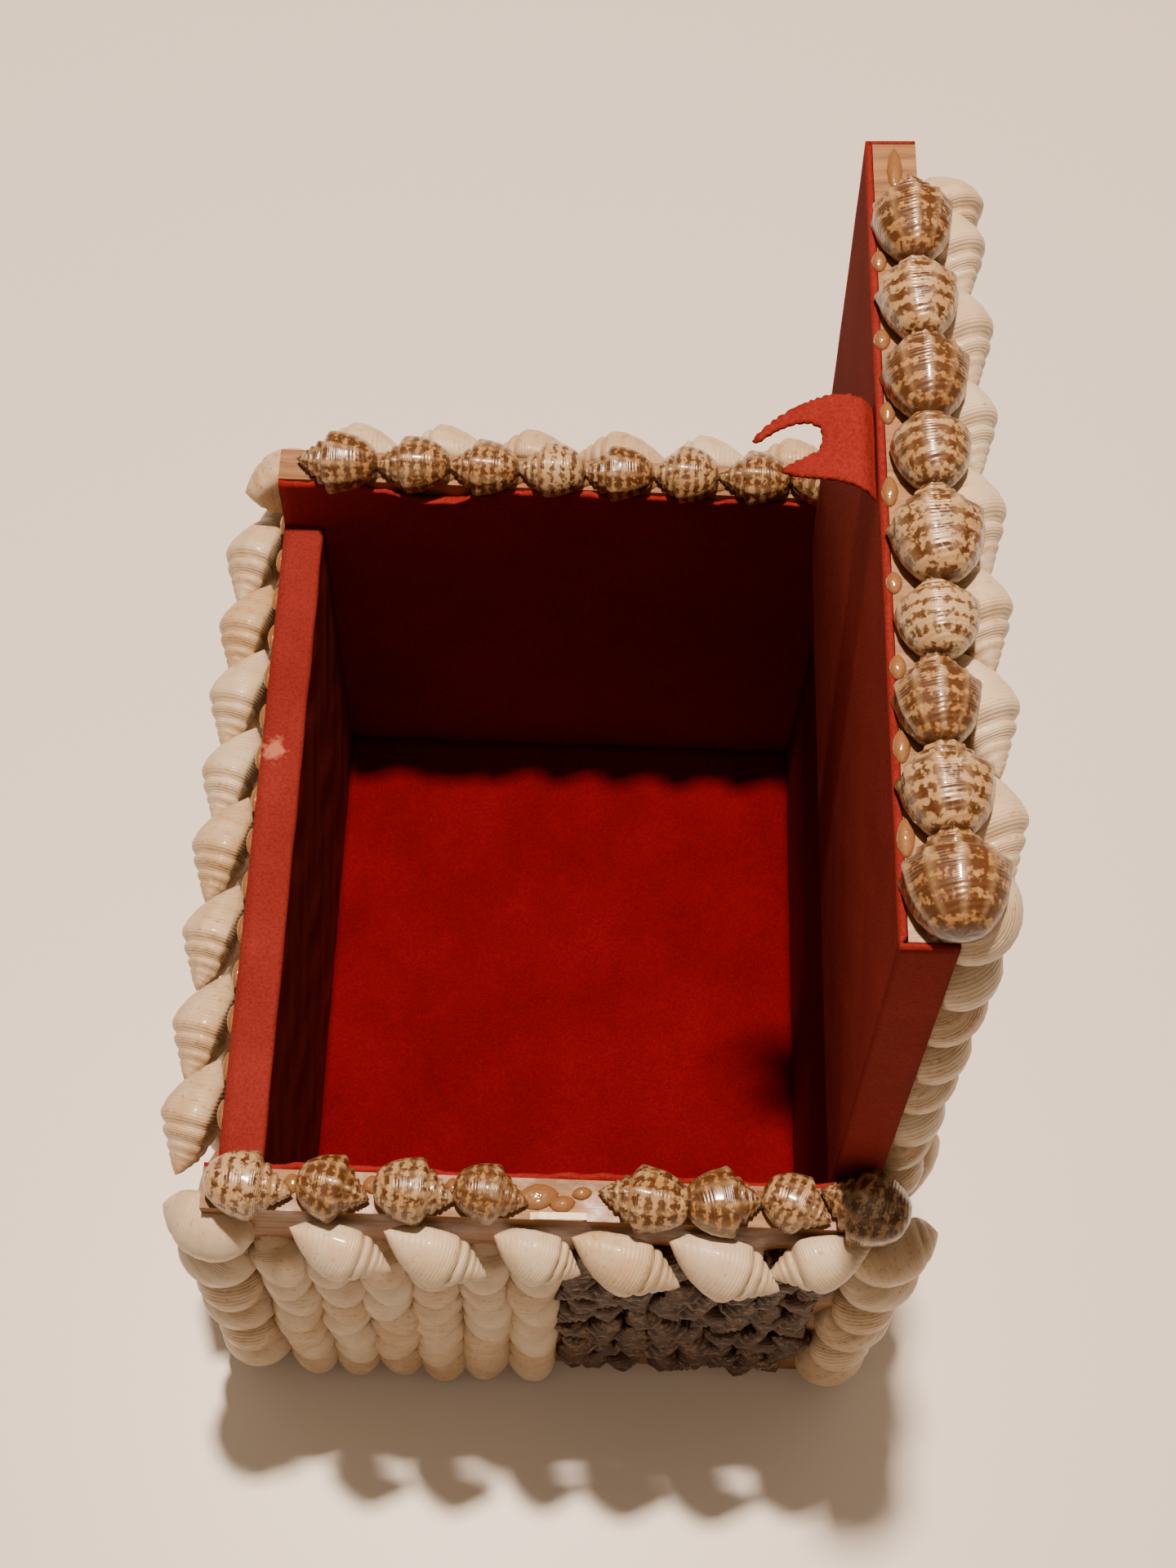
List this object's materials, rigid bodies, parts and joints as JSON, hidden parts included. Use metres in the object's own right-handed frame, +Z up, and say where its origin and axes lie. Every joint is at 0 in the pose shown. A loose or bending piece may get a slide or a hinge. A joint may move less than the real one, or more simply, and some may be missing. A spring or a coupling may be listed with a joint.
{
  "type": "shell box",
  "caption": "Small wooden keepsake box with a lid hinged on one side, covered outside in glued sea shells and lined inside with red velvet, shown open.",
  "frame": {"origin": "The centre of the underside of the bottom board, on the surface that the box stands on.", "axes": "+Z up; -Y is the front, the side with the white and dark patches; +X is the side that the lid is hinged on."},
  "size_m": [0.1298, 0.1624, 0.206],
  "materials": {
    "wood": "thin light boards, sanded, with streaks of dried glue along the shelled edges",
    "velvet": "short-pile red velvet, glued down, a little worn along the edges",
    "steel": "plain wire nail",
    "white_shell": "natural white and cream sea shell, satin",
    "brown_shell": "natural cream sea shell with brown spots and bands, glossy",
    "dark_shell": "small rough dark brown sea shell, dull with a few glossy spots",
    "glue": "dried clear glue, glossy"
  },
  "bodies": {
    "box": {"back_shells": "white_shell", "back_top_shells": "white_shell", "board_back": "wood", "board_bottom": "wood", "board_front": "wood", "board_left": "wood", "board_right": "wood", "corner_shells_back_left": "white_shell", "corner_shells_back_right": "white_shell", "corner_shells_front_left": "white_shell", "corner_shells_front_right": "white_shell", "front_dark_shells": "dark_shell", "front_top_shells": "white_shell", "front_white_shells": "white_shell", "glue_blob": "glue", "hinge_pin_back": "steel", "hinge_pin_front": "steel", "left_shells": "white_shell", "left_top_shells": "white_shell", "lining_back": "velvet", "lining_floor": "velvet", "lining_front": "velvet", "lining_left": "velvet", "lining_right": "velvet", "right_shells": "white_shell", "right_top_shells": "white_shell", "rim_shell_back_1": "brown_shell", "rim_shell_back_2": "brown_shell", "rim_shell_back_3": "brown_shell", "rim_shell_back_4": "brown_shell", "rim_shell_back_5": "brown_shell", "rim_shell_back_6": "brown_shell", "rim_shell_back_7": "brown_shell", "rim_shell_back_8": "brown_shell", "rim_shell_front_1": "brown_shell", "rim_shell_front_2": "brown_shell", "rim_shell_front_3": "brown_shell", "rim_shell_front_4": "brown_shell", "rim_shell_front_5": "brown_shell", "rim_shell_front_6": "brown_shell", "rim_shell_front_7": "brown_shell", "rim_shell_front_8": "brown_shell", "rim_splinter": "wood"},
    "lid": {"lid_board": "wood", "lid_edge_shell_1": "brown_shell", "lid_edge_shell_2": "brown_shell", "lid_edge_shell_3": "brown_shell", "lid_edge_shell_4": "brown_shell", "lid_edge_shell_5": "brown_shell", "lid_edge_shell_6": "brown_shell", "lid_edge_shell_7": "brown_shell", "lid_edge_shell_8": "brown_shell", "lid_edge_shell_9": "brown_shell", "lid_lining": "velvet", "lid_shells": "white_shell", "lid_top_shells": "white_shell", "lid_torn_lining": "velvet"}
  },
  "joints": [
    {"name": "lid_hinge", "type": "hinge", "parent": "box", "child": "lid", "pos_m": [0.0485, 0, 0.0929], "axis": [0, 1, 0], "range_deg": [-87, 0], "deforming": ["lid_torn_lining"]}
  ]
}
